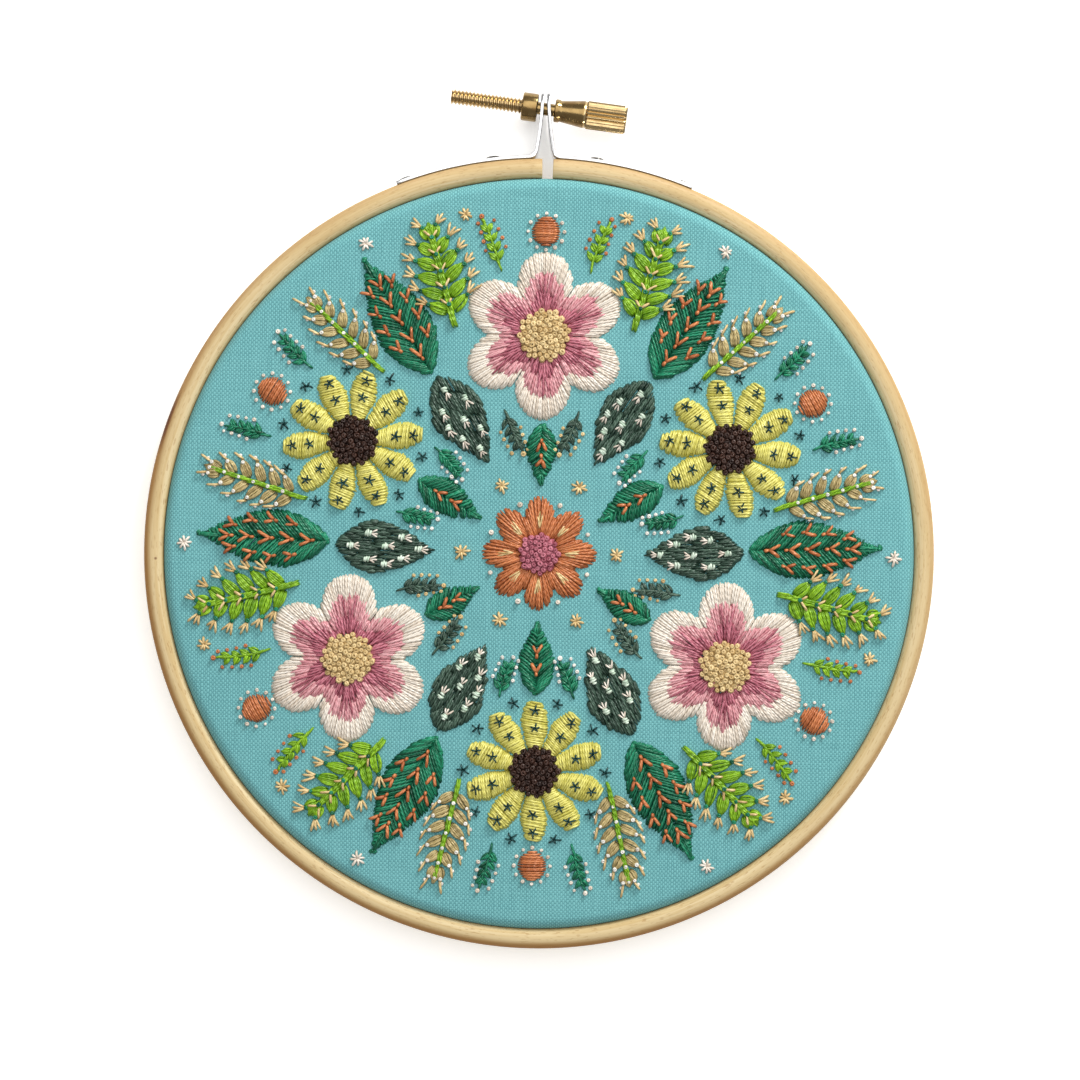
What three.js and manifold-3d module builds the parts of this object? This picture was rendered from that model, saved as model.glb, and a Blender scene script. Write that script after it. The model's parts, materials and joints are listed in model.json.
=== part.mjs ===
// Hoop embroidery art: a round of plain-woven cotton held like a drumhead between the two wooden rings of a
// screw hoop, and worked with a wreath of blossoms, leaves, fronds and ears.
// Millimetres, +Z up. The hoop lies on its back with its stitched face up and its screw at +Y.
import * as THREE from "three";
import { mergeVertices } from "three/addons/utils/BufferGeometryUtils.js";
import Module from "manifold-3d";

const wasm = await Module();
wasm.setup();

// Driving dimensions of the rings and the cloth
const GAP = 0.3; // clearance between neighbouring pieces
const HOOP_SIZE = 152.4; // a six inch hoop, measured across the outside of its inner ring
const INNER_RING = { width: 4.0, depth: 8.7, faceRounding: 1.2, backRounding: 0.6 };
const OUTER_RING = { width: 4.1, depth: 9.5, faceRounding: 1.5, backRounding: 0.7, split: 2.2 };
const CLOTH = { thickness: 1.0, trimHeight: 0.7 }; // the trimmed edge stays just above the back of the rings
const RING_STEPS = 72;

// Driving dimensions of the clamp at the split
const CLAMP_TURN = 0.45; // degrees about the hoop's centre, because the clamp was not fitted square to the split
const LUG = { thickness: 0.7, width: 8.0, reach: 31.3, foot: 3.6, footRise: 2.4 };
const EAR = { height: 14.9, gapAtTop: 0.45, gapAtFoot: 2.6, waist: 8.0, gapAtWaist: 0.6 };
const SCREW = { height: 10.8, tilt: -7.0, threadRadius: 1.6, threadDepth: 0.3, pitch: 0.79, holeClearance: 0.4 };
const SCREW_ENDS = { tip: -19.8, neck: 1.9, taper: 3.0, head: 8.2, end: 17.0 }; // along its axis from the ears
const NUT = { radius: 2.95, start: -4.95, end: -1.7, edge: 0.3 };
const NECK = { collarRadius: 2.4, thinRadius: 2.2, wideRadius: 2.85 };
const HEAD = { radius: 2.95, ribDepth: 0.28, ribs: 20, edge: 0.35 };
const RIVET = { radius: 1.7, height: 0.75, nearArc: 10.8, farArc: 29.3 };
const ROUND_STEPS = 16;

// Driving dimensions of the stitched motifs
const PAD = { height: 0.35, edge: 0.3 }; // a flat body and its rounded-off shoulders, above and below
const WREATH_REPEATS = 3;
const WREATH_START = 90; // degrees, so that one repeat is centred under the screw
const BUTTON = { radiusShare: 0.34, rise: 0.55 }; // the raised middle of a blossom
const FROND_STEM = { halfWidth: 1.3, share: 0.16 };

const COLOURS = {
  wood: 0xdcbb85,
  cloth: 0x5fb2b8,
  nickel: 0xc9c9c6,
  brass: 0xb58d45,
  pink: 0xc4707f,
  yellow: 0xe0d96a,
  emerald: 0x136c4a,
  bottle: 0x2f4a3d,
  lime: 0x78b22a,
  straw: 0xbba86f,
  rust: 0xcb7748,
};

const innerRadius = HOOP_SIZE / 2;
const clothRadius = innerRadius + GAP + CLOTH.thickness;
const clothFront = INNER_RING.depth + GAP + CLOTH.thickness;
const outerBore = clothRadius + GAP;
const outerRadius = outerBore + OUTER_RING.width;
const stripRadius = outerRadius + GAP;
const middleHeight = OUTER_RING.depth / 2;

const degrees = THREE.MathUtils.degToRad;

// Materials

function finish(colour, roughness, metalness = 0) {
  return new THREE.MeshStandardMaterial({ color: colour, roughness, metalness });
}

const wood = finish(COLOURS.wood, 0.6);
const cotton = finish(COLOURS.cloth, 0.9);
const nickel = finish(COLOURS.nickel, 0.25, 1);
const brass = finish(COLOURS.brass, 0.3, 1);

function floss(colour) {
  return finish(colour, 0.55);
}

// Solids: joins and cuts between closed shapes

function toSolid(geometry) {
  const bare = geometry.clone();
  bare.deleteAttribute("normal");
  bare.deleteAttribute("uv");
  const merged = mergeVertices(bare, 1e-4);
  const vertProperties = new Float32Array(merged.attributes.position.array);
  const triVerts = new Uint32Array(merged.index.array);
  return new wasm.Manifold(new wasm.Mesh({ numProp: 3, vertProperties, triVerts }));
}

function toGeometry(solid) {
  const mesh = solid.getMesh();
  return new THREE.BufferGeometry()
    .setAttribute("position", new THREE.BufferAttribute(mesh.vertProperties, 3))
    .setIndex(new THREE.BufferAttribute(mesh.triVerts, 1));
}

function named(name, geometry, material) {
  const mesh = new THREE.Mesh(geometry, material);
  mesh.name = name;
  return mesh;
}

// A shape turned about +Z from a profile of radius and height.
function turned(profile, steps) {
  return new THREE.LatheGeometry(profile, steps).rotateX(Math.PI / 2);
}

// Rings and cloth

// A ring's section, rounded more at its face than at its back, as a closed profile.
function ringSection(bore, { width, depth, faceRounding, backRounding }) {
  const section = new THREE.Path();
  const rim = bore + width;
  section.absarc(rim - backRounding, backRounding, backRounding, -Math.PI / 2, 0);
  section.absarc(rim - faceRounding, depth - faceRounding, faceRounding, 0, Math.PI / 2);
  section.absarc(bore + faceRounding, depth - faceRounding, faceRounding, Math.PI / 2, Math.PI);
  section.absarc(bore + backRounding, backRounding, backRounding, Math.PI, Math.PI * 1.5);
  section.closePath();
  return section.getPoints(1);
}

function innerRing() {
  const section = ringSection(innerRadius - INNER_RING.width, INNER_RING);
  return named("inner_ring", turned(section, RING_STEPS), wood);
}

// The outer ring is cut through at +Y, where the screw draws it together.
function outerRing() {
  const whole = toSolid(turned(ringSection(outerBore, OUTER_RING), RING_STEPS));
  const saw = new THREE.BoxGeometry(OUTER_RING.split, OUTER_RING.width * 4, OUTER_RING.depth * 2);
  saw.translate(0, outerRadius, middleHeight);
  return named("outer_ring", toGeometry(whole.subtract(toSolid(saw))), wood);
}

// The cloth is stretched flat over the inner ring, turns down round its shoulder and ends between the rings.
function cloth() {
  const underside = clothFront - CLOTH.thickness;
  const lining = clothRadius - CLOTH.thickness;
  const bend = INNER_RING.faceRounding + GAP;
  const middle = lining - bend;
  const bendHeight = underside - bend;
  const inside = new THREE.Path().absarc(middle, bendHeight, bend, Math.PI / 2, 0, true);
  const outside = new THREE.Path().absarc(middle, bendHeight, bend + CLOTH.thickness, 0, Math.PI / 2);
  const profile = [
    new THREE.Vector2(0, underside),
    ...inside.getPoints(2),
    new THREE.Vector2(lining, CLOTH.trimHeight),
    new THREE.Vector2(clothRadius, CLOTH.trimHeight),
    ...outside.getPoints(2),
    new THREE.Vector2(0, clothFront),
  ];
  return named("cloth", turned(profile, RING_STEPS), cotton);
}

// Clamp: two bent lugs, their rivets, the nut and the thumb screw

const screwPlace = new THREE.Matrix4()
  .makeTranslation(0, outerRadius + SCREW.height, middleHeight)
  .multiply(new THREE.Matrix4().makeRotationZ(degrees(SCREW.tilt)));

// A shape turned about the screw's axis, which is +X before the screw is put in its place.
function turnedOnScrew(profile, steps) {
  return new THREE.LatheGeometry(profile, steps).rotateZ(-Math.PI / 2);
}

// Side outline of a lug: a strip along the ring's outside that bends up at the split into an ear, which draws in
// towards the other ear as it rises.
function lugOutline(side) {
  const top = outerRadius + EAR.height;
  const bendTop = outerRadius + LUG.footRise;
  const stripTop = stripRadius + LUG.thickness;
  const endAngle = Math.PI / 2 - LUG.reach / outerRadius;
  const footAngle = Math.acos(LUG.foot / stripRadius);
  const inside = { foot: EAR.gapAtFoot / 2, top: EAR.gapAtTop / 2 };
  const outside = { foot: inside.foot + LUG.thickness, top: inside.top + LUG.thickness };
  const waist = EAR.gapAtWaist / 2;
  const outline = new THREE.Shape();
  outline.absarc(0, 0, stripRadius, endAngle, footAngle);
  outline.quadraticCurveTo(inside.foot, stripRadius, inside.foot, bendTop);
  outline.quadraticCurveTo(waist, outerRadius + EAR.waist, inside.top, top);
  outline.lineTo(outside.top, top);
  outline.quadraticCurveTo(waist + LUG.thickness, outerRadius + EAR.waist, outside.foot, bendTop);
  outline.quadraticCurveTo(outside.foot, stripTop, LUG.foot, Math.sqrt(stripTop ** 2 - LUG.foot ** 2));
  outline.absarc(0, 0, stripTop, footAngle, endAngle, true);
  return new THREE.Shape(outline.getPoints(6).map((point) => new THREE.Vector2(point.x * side, point.y)));
}

// What the lug keeps when its ear is rounded over the top, seen along the screw.
function lugBlank() {
  const half = LUG.width / 2;
  const roundCentre = outerRadius + EAR.height - half;
  const outline = new THREE.Shape();
  outline.moveTo(-half, 0);
  outline.lineTo(half, 0);
  outline.absarc(0, roundCentre, half, 0, Math.PI);
  const span = LUG.reach * 3;
  const blank = new THREE.ExtrudeGeometry(outline, { depth: span, bevelEnabled: false, curveSegments: 6 });
  return blank.translate(0, 0, -span / 2).rotateY(Math.PI / 2).translate(0, 0, middleHeight);
}

function lug(name, side) {
  const strip = new THREE.ExtrudeGeometry(lugOutline(side), { depth: LUG.width, bevelEnabled: false });
  strip.translate(0, 0, middleHeight - LUG.width / 2);
  const holeRadius = SCREW.threadRadius + SCREW.holeClearance;
  const hole = new THREE.CylinderGeometry(holeRadius, holeRadius, LUG.width * 2, ROUND_STEPS);
  hole.rotateZ(Math.PI / 2).applyMatrix4(screwPlace);
  const made = toSolid(strip).intersect(toSolid(lugBlank())).subtract(toSolid(hole));
  return named(name, toGeometry(made), nickel);
}

// A domed rivet head on the strip, at an arc length from the split.
function rivet(name, arc) {
  const profile = [
    [0, 0],
    [RIVET.radius, 0],
    [RIVET.radius * 0.92, RIVET.height * 0.5],
    [RIVET.radius * 0.6, RIVET.height * 0.88],
    [0, RIVET.height],
  ].map(([radius, height]) => new THREE.Vector2(radius, height));
  const mesh = named(name, new THREE.LatheGeometry(profile, 12), nickel);
  const seat = stripRadius + LUG.thickness + GAP;
  const angle = arc / outerRadius;
  mesh.position.set(seat * Math.sin(angle), seat * Math.cos(angle), middleHeight);
  mesh.rotation.z = -angle;
  return mesh;
}

function nut() {
  const bore = SCREW.threadRadius + GAP;
  const profile = [
    [bore, NUT.start],
    [NUT.radius - NUT.edge, NUT.start],
    [NUT.radius, NUT.start + NUT.edge],
    [NUT.radius, NUT.end - NUT.edge],
    [NUT.radius - NUT.edge, NUT.end],
    [bore, NUT.end],
    [bore, NUT.start],
  ].map(([radius, along]) => new THREE.Vector2(radius, along));
  const mesh = named("nut", turnedOnScrew(profile, ROUND_STEPS), brass);
  mesh.applyMatrix4(screwPlace);
  return mesh;
}

// Ridges of the thread from the tip to just inside the nut, then a plain shank, the neck and its taper.
function shankProfile() {
  const root = SCREW.threadRadius - SCREW.threadDepth;
  const ridges = Math.ceil((NUT.start - SCREW_ENDS.tip) / SCREW.pitch);
  const profile = [[0, SCREW_ENDS.tip], [root, SCREW_ENDS.tip]];
  for (let ridge = 0; ridge < ridges; ridge++) {
    const start = SCREW_ENDS.tip + ridge * SCREW.pitch;
    profile.push([SCREW.threadRadius, start + SCREW.pitch / 2], [root, start + SCREW.pitch]);
  }
  profile.push(
    [root, SCREW_ENDS.neck],
    [NECK.collarRadius, SCREW_ENDS.neck],
    [NECK.collarRadius, SCREW_ENDS.taper],
    [NECK.thinRadius, SCREW_ENDS.taper],
    [NECK.wideRadius, SCREW_ENDS.head],
    [NECK.thinRadius, SCREW_ENDS.head + HEAD.edge * 2],
    [0, SCREW_ENDS.head + HEAD.edge * 2],
  );
  return profile.map(([radius, along]) => new THREE.Vector2(radius, along));
}

// The knurled grip: a ribbed round with its edges broken at both ends.
function gripGeometry() {
  const points = [];
  for (let step = 0; step < HEAD.ribs * 2; step++) {
    const radius = HEAD.radius - (step % 2) * HEAD.ribDepth - HEAD.edge;
    const angle = (step * Math.PI) / HEAD.ribs;
    points.push(new THREE.Vector2(radius * Math.cos(angle), radius * Math.sin(angle)));
  }
  const length = SCREW_ENDS.end - SCREW_ENDS.head;
  const grip = new THREE.ExtrudeGeometry(new THREE.Shape(points), {
    depth: length - HEAD.edge * 2,
    bevelThickness: HEAD.edge,
    bevelSize: HEAD.edge,
    bevelSegments: 1,
  });
  return grip.rotateY(Math.PI / 2).translate(SCREW_ENDS.head + HEAD.edge, 0, 0);
}

function thumbScrew() {
  const shank = toSolid(turnedOnScrew(shankProfile(), ROUND_STEPS));
  const mesh = named("thumb_screw", toGeometry(shank.add(toSolid(gripGeometry()))), brass);
  mesh.applyMatrix4(screwPlace);
  return mesh;
}

// Outlines of the stitched motifs: each starts at the origin and grows along +X, or is centred on it

function leafOutline({ length, width }) {
  const steps = 7;
  const edge = [];
  for (let step = 0; step <= steps; step++) {
    const along = step / steps;
    edge.push(new THREE.Vector2(along * length, (width / 2) * Math.sin(Math.PI * along ** 0.8)));
  }
  const farEdge = edge.slice(1, -1).reverse().map((point) => new THREE.Vector2(point.x, -point.y));
  return edge.concat(farEdge);
}

// Pairs of side leaves that lean forwards from a thin stem, longest in the middle.
function frondOutline({ length, width, pairs }) {
  const edge = [new THREE.Vector2(0, FROND_STEM.halfWidth)];
  const pitch = (1 - FROND_STEM.share) / pairs;
  for (let pair = 0; pair < pairs; pair++) {
    const root = FROND_STEM.share + pair * pitch;
    const reach = (width / 2) * Math.sin(Math.PI * (0.25 + (0.7 * (pair + 0.5)) / pairs));
    edge.push(new THREE.Vector2(root * length, FROND_STEM.halfWidth));
    edge.push(new THREE.Vector2((root + pitch * 0.9) * length, reach));
  }
  const farEdge = edge.map((point) => new THREE.Vector2(point.x, -point.y)).reverse();
  return [...edge, new THREE.Vector2(length, 0), ...farEdge];
}

function blossomOutline({ radius, petals, notch, pointsPerPetal }) {
  const count = petals * pointsPerPetal;
  return Array.from({ length: count }, (_, step) => {
    const angle = (step * 2 * Math.PI) / count;
    const reach = radius * (notch + (1 - notch) * Math.abs(Math.cos((angle * petals) / 2)) ** 0.7);
    return new THREE.Vector2(reach * Math.cos(angle), reach * Math.sin(angle));
  });
}

function berryOutline({ radius }) {
  return new THREE.Path().absarc(0, 0, radius, 0, Math.PI * 2).getPoints(6).slice(0, -1);
}

// The body of close stitches that fills an outline, with its shoulders rounded off.
function stitchedPad(outline) {
  return new THREE.ExtrudeGeometry(new THREE.Shape(outline), {
    depth: PAD.height,
    bevelThickness: PAD.edge,
    bevelSize: PAD.edge,
    bevelOffset: -PAD.edge,
    bevelSegments: 1,
  }).translate(0, 0, PAD.edge);
}

// A blossom's pad joined to its raised middle of knots.
function blossomPad(motif) {
  const top = PAD.height + PAD.edge * 2;
  const radius = motif.radius * BUTTON.radiusShare;
  const dome = [
    [0, PAD.edge],
    [radius, PAD.edge],
    [radius, top],
    [radius * 0.75, top + BUTTON.rise * 0.75],
    [0, top + BUTTON.rise],
  ].map(([reach, height]) => new THREE.Vector2(reach, height));
  return toGeometry(toSolid(stitchedPad(blossomOutline(motif))).add(toSolid(turned(dome, 12))));
}

const PAD_MAKERS = {
  blossom: blossomPad,
  leaf: (motif) => stitchedPad(leafOutline(motif)),
  frond: (motif) => stitchedPad(frondOutline(motif)),
  berry: (motif) => stitchedPad(berryOutline(motif)),
};

// One repeat of the wreath. angle is from the middle of the repeat and at is from the hoop's centre, to a motif's
// foot or middle. turn is from pointing straight out. A paired motif stands on both sides of the middle.
const WREATH = [
  { name: "pink_blossom", kind: "blossom", floss: "pink", angle: 0, at: 45, turn: 0, paired: false,
    radius: 17.5, petals: 6, notch: 0.6, pointsPerPetal: 6 },
  { name: "yellow_blossom", kind: "blossom", floss: "yellow", angle: 60, at: 45, turn: 0, paired: false,
    radius: 15, petals: 10, notch: 0.66, pointsPerPetal: 4 },
  { name: "pink_berry", kind: "berry", floss: "rust", angle: 0, at: 66.5, turn: 0, paired: false, radius: 3 },
  { name: "yellow_berry", kind: "berry", floss: "rust", angle: 60, at: 64.5, turn: 0, paired: false, radius: 3 },
  { name: "pink_sepal", kind: "leaf", floss: "emerald", angle: 0, at: 26.6, turn: 180, paired: false,
    length: 12.5, width: 6.5 },
  { name: "yellow_sepal", kind: "leaf", floss: "emerald", angle: 60, at: 29, turn: 180, paired: false,
    length: 15, width: 7.5 },
  { name: "emerald_leaf", kind: "leaf", floss: "emerald", angle: 32.1, at: 43.5, turn: 0, paired: true,
    length: 27, width: 12 },
  { name: "bottle_leaf", kind: "leaf", floss: "bottle", angle: 31.4, at: 42.4, turn: 181, paired: true,
    length: 21, width: 10.5 },
  { name: "lime_frond", kind: "frond", floss: "lime", angle: 21.7, at: 49.8, turn: -6, paired: true,
    length: 22.3, width: 11.4, pairs: 6 },
  { name: "straw_ear", kind: "frond", floss: "straw", angle: 41.9, at: 49.2, turn: 5, paired: true,
    length: 22, width: 9.2, pairs: 6 },
];
const HEART = { kind: "blossom", floss: "rust", radius: 12, petals: 8, notch: 0.6, pointsPerPetal: 4 };

function stitched(name, motif) {
  return named(name, PAD_MAKERS[motif.kind](motif), floss(COLOURS[motif.floss]));
}

function placedMotif(motif, repeat, side) {
  const suffix = motif.paired ? (side > 0 ? "_left" : "_right") : "";
  const mesh = stitched(`${motif.name}_${repeat + 1}${suffix}`, motif);
  const angle = WREATH_START + (repeat * 360) / WREATH_REPEATS + side * motif.angle;
  const out = degrees(angle);
  mesh.position.set(motif.at * Math.cos(out), motif.at * Math.sin(out), 0);
  mesh.rotation.z = degrees(angle + side * motif.turn);
  return mesh;
}

function embroidery() {
  const group = new THREE.Group();
  group.add(stitched("heart_blossom", HEART));
  for (let repeat = 0; repeat < WREATH_REPEATS; repeat++) {
    for (const motif of WREATH) {
      const sides = motif.paired ? [1, -1] : [1];
      group.add(...sides.map((side) => placedMotif(motif, repeat, side)));
    }
  }
  group.position.z = clothFront + GAP;
  return group;
}

function clamp() {
  const group = new THREE.Group();
  group.add(lug("lug_left", -1), lug("lug_right", 1), nut(), thumbScrew());
  group.add(rivet("rivet_left_near", -RIVET.nearArc), rivet("rivet_right_near", RIVET.nearArc));
  group.add(rivet("rivet_left_far", -RIVET.farArc), rivet("rivet_right_far", RIVET.farArc));
  group.rotation.z = degrees(CLAMP_TURN);
  return group;
}

const hoopArt = new THREE.Group();
hoopArt.add(innerRing(), outerRing(), cloth(), clamp(), embroidery());

// The origin is on the resting plane, under the middle of the whole part with its clamp.
const extent = new THREE.Box3().setFromObject(hoopArt, true);
const middle = extent.getCenter(new THREE.Vector3());
hoopArt.position.set(-middle.x, -middle.y, 0);

export default hoopArt;
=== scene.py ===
"""Hoop embroidery art: cotton stretched in a wooden screw hoop, with a wreath worked in stranded floss."""

import json
import math

import bmesh
import bpy
import numpy as np
from mathutils import Matrix, Vector


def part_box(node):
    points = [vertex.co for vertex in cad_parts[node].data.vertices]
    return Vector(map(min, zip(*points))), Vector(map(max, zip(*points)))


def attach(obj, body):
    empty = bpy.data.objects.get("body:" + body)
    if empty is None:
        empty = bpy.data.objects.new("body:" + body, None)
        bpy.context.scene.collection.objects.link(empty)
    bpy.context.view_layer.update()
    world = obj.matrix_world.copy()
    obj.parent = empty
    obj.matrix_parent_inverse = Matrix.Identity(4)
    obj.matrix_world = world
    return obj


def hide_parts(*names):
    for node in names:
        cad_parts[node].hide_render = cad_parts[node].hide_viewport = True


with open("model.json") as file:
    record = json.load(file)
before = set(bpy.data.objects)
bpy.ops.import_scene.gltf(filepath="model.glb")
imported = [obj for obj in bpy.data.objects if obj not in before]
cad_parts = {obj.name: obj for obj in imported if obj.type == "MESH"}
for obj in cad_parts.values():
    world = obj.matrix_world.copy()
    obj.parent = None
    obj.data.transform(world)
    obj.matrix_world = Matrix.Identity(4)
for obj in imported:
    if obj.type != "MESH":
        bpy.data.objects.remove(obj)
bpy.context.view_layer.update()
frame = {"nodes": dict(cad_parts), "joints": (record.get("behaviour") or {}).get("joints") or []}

MM = 0.001
SHARP = math.radians(38)

# Sizes read from the frame, in metres
INNER_LOW, INNER_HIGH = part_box("inner_ring")
OUTER_LOW, OUTER_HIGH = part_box("outer_ring")
CLOTH_LOW, CLOTH_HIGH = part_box("cloth")
HOOP_CENTRE = Vector(((INNER_LOW.x + INNER_HIGH.x) / 2, (INNER_LOW.y + INNER_HIGH.y) / 2, 0))
INNER_RADIUS = (INNER_HIGH.x - INNER_LOW.x) / 2
CLOTH_RADIUS = (CLOTH_HIGH.x - CLOTH_LOW.x) / 2
OUTER_RADIUS = (OUTER_HIGH.x - OUTER_LOW.x) / 2
CLOTH_FRONT = CLOTH_HIGH.z
RING_DEPTH = OUTER_HIGH.z
SCREW_JOINT = frame["joints"][0]
SCREW_POINT = Vector(SCREW_JOINT["pos_m"])
SCREW_AXIS = Vector(SCREW_JOINT["axis"]).normalized()

# Sizes of the rings, the cloth and the clamp, in metres
RING_WIDTH = 4.1 * MM
RING_CROWN = 1.45 * MM
RING_BACK = 0.7 * MM
BORE_RADIUS = OUTER_RADIUS - RING_WIDTH
INNER_WIDTH = 4.0 * MM
INNER_CROWN = 1.3 * MM
INNER_BACK = 0.6 * MM
SPLIT_WIDTH = 2.2 * MM
RING_STEPS = 240
CLOTH_BEND = 2.5 * MM
CLOTH_THICKNESS = 0.35 * MM
PUCKER = {"height": 0.07 * MM, "wavelength": 9 * MM}
THREAD_RADIUS = 1.6 * MM
THREAD_DEPTH = 0.34 * MM
THREAD_PITCH = 0.79 * MM
SCREW_TIP = -19.8 * MM
SCREW_NECK = 1.9 * MM
SCREW_TAPER = 3.0 * MM
SCREW_HEAD = 8.2 * MM
SCREW_END = 17.0 * MM
GRIP_START = SCREW_HEAD + 0.3 * MM
NECK_RADIUS = 2.4 * MM
TAPER_RADII = (2.2 * MM, 2.85 * MM)
HEAD_RADIUS = 2.95 * MM
HEAD_RIBS = 20
RIB_DEPTH = 0.4 * MM
NUT_START = -4.95 * MM
NUT_END = -1.7 * MM
NUT_RADIUS = 2.95 * MM
STRIP_TOP = 1.1 * MM
STRIP_GAP = 0.27 * MM
RIVET_RADIUS = 1.7 * MM
RIVET_HEIGHT = 0.75 * MM

# Floss colours, each as the dark and the light of its strands; the dark also gives the painted shade in ply
# grooves and at strand ends
FLOSS = {
    "rose": ((0.30, 0.065, 0.095), (0.62, 0.21, 0.27)),
    "blush": ((0.55, 0.20, 0.23), (0.82, 0.45, 0.47)),
    "cream": ((0.66, 0.56, 0.45), (0.93, 0.87, 0.78)),
    "yellow": ((0.56, 0.51, 0.085), (0.86, 0.81, 0.24)),
    "emerald": ((0.002, 0.055, 0.024), (0.022, 0.30, 0.155)),
    "bottle": ((0.010, 0.028, 0.018), (0.085, 0.15, 0.108)),
    "lime": ((0.095, 0.24, 0.006), (0.30, 0.56, 0.022)),
    "straw": ((0.52, 0.34, 0.13), (0.85, 0.66, 0.34)),
    "tan": ((0.27, 0.20, 0.075), (0.60, 0.48, 0.22)),
    "rust": ((0.36, 0.095, 0.028), (0.72, 0.26, 0.10)),
    "mint": ((0.44, 0.60, 0.45), (0.78, 0.88, 0.76)),
    "white": ((0.72, 0.69, 0.62), (0.95, 0.93, 0.88)),
    "pine": ((0.004, 0.022, 0.022), (0.016, 0.072, 0.070)),
    "umber": ((0.010, 0.004, 0.003), (0.055, 0.022, 0.013)),
}


class Value:
    """An output of a material's node. Arithmetic on values adds Math nodes to that material."""

    def __init__(self, finish, socket):
        self.finish = finish
        self.socket = socket

    def math(self, operation, *others):
        inputs = dict(enumerate((self, *others)))
        return self.finish.node("ShaderNodeMath", {"operation": operation}, inputs)

    def __add__(self, other):
        return self.math("ADD", other)

    def __sub__(self, other):
        return self.math("SUBTRACT", other)

    def __rsub__(self, other):
        return self.finish.node("ShaderNodeMath", {"operation": "SUBTRACT"}, {0: other, 1: self})

    def __mul__(self, other):
        return self.math("MULTIPLY", other)

    def __pow__(self, other):
        return self.math("POWER", other)

    __radd__ = __add__
    __rmul__ = __mul__

    def sine(self):
        return self.math("SINE")

    def size(self):
        return self.math("ABSOLUTE")

    def between(self, low, high):
        """0 below low, 1 above high and a smooth step from one to the other."""
        settings = {"interpolation_type": "SMOOTHSTEP"}
        inputs = {"Value": self, "From Min": low, "From Max": high}
        return self.finish.node("ShaderNodeMapRange", settings, inputs)


class Finish:
    """A node material: one Principled shader and the nodes that feed it."""

    def __init__(self, name, **sockets):
        self.material = bpy.data.materials.new(name)
        self.material.use_nodes = True
        self.tree = self.material.node_tree
        self.shader = self.tree.nodes["Principled BSDF"]
        self.feed(**sockets)

    def node(self, kind, settings=None, inputs=None, output=0):
        made = self.tree.nodes.new(kind)
        for name, setting in (settings or {}).items():
            setattr(made, name, setting)
        for key, value in (inputs or {}).items():
            self.join(value, made.inputs[key])
        return Value(self, made.outputs[output])

    def join(self, value, socket):
        if isinstance(value, Value):
            self.tree.links.new(value.socket, socket)
        else:
            socket.default_value = value

    def feed(self, **sockets):
        for name, value in sockets.items():
            self.join(value, self.shader.inputs[name.replace("_", " ")])

    def mix(self, share, first, second):
        """A colour that goes from first to second."""
        colours = [c if isinstance(c, Value) else (*c, 1.0) for c in (first, second)]
        inputs = {0: share, 6: colours[0], 7: colours[1]}
        return self.node("ShaderNodeMix", {"data_type": "RGBA"}, inputs, output=2)

    def parts(self, vector):
        split = self.tree.nodes.new("ShaderNodeSeparateXYZ")
        self.join(vector, split.inputs[0])
        return [Value(self, socket) for socket in split.outputs]

    def vector(self, x, y, z):
        return self.node("ShaderNodeCombineXYZ", inputs={"X": x, "Y": y, "Z": z})

    def noise(self, place, scale, detail=2.0, roughness=0.5):
        inputs = {"Vector": place, "Scale": scale, "Detail": detail, "Roughness": roughness}
        return self.node("ShaderNodeTexNoise", inputs=inputs)

    def map_named(self, name):
        return self.node("ShaderNodeUVMap", {"uv_map": name})

    def about(self, centre):
        """Object coordinates measured from a point."""
        place = self.node("ShaderNodeTexCoord", output="Object")
        inputs = {"Vector": place, "Location": tuple(-centre)}
        return self.node("ShaderNodeMapping", {"vector_type": "POINT"}, inputs)

    def bump(self, height, distance, strength=1.0):
        inputs = {"Height": height, "Distance": distance, "Strength": strength}
        return self.node("ShaderNodeBump", inputs=inputs)


# Finishes

WOOD = {
    "pale": (0.74, 0.60, 0.355),
    "mid": (0.60, 0.435, 0.205),
    "dark": (0.36, 0.175, 0.045),
    "knot": (0.13, 0.035, 0.010),
}
# Direction in which the painted shade on the ring's outer edge grows: towards the lower left, away from the
# light.
SHADED_SIDE = (-0.6, -0.8)
SPECK_ANGLE = math.radians(-88)
SCORCH_ANGLE = math.radians(-108.5)


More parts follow.
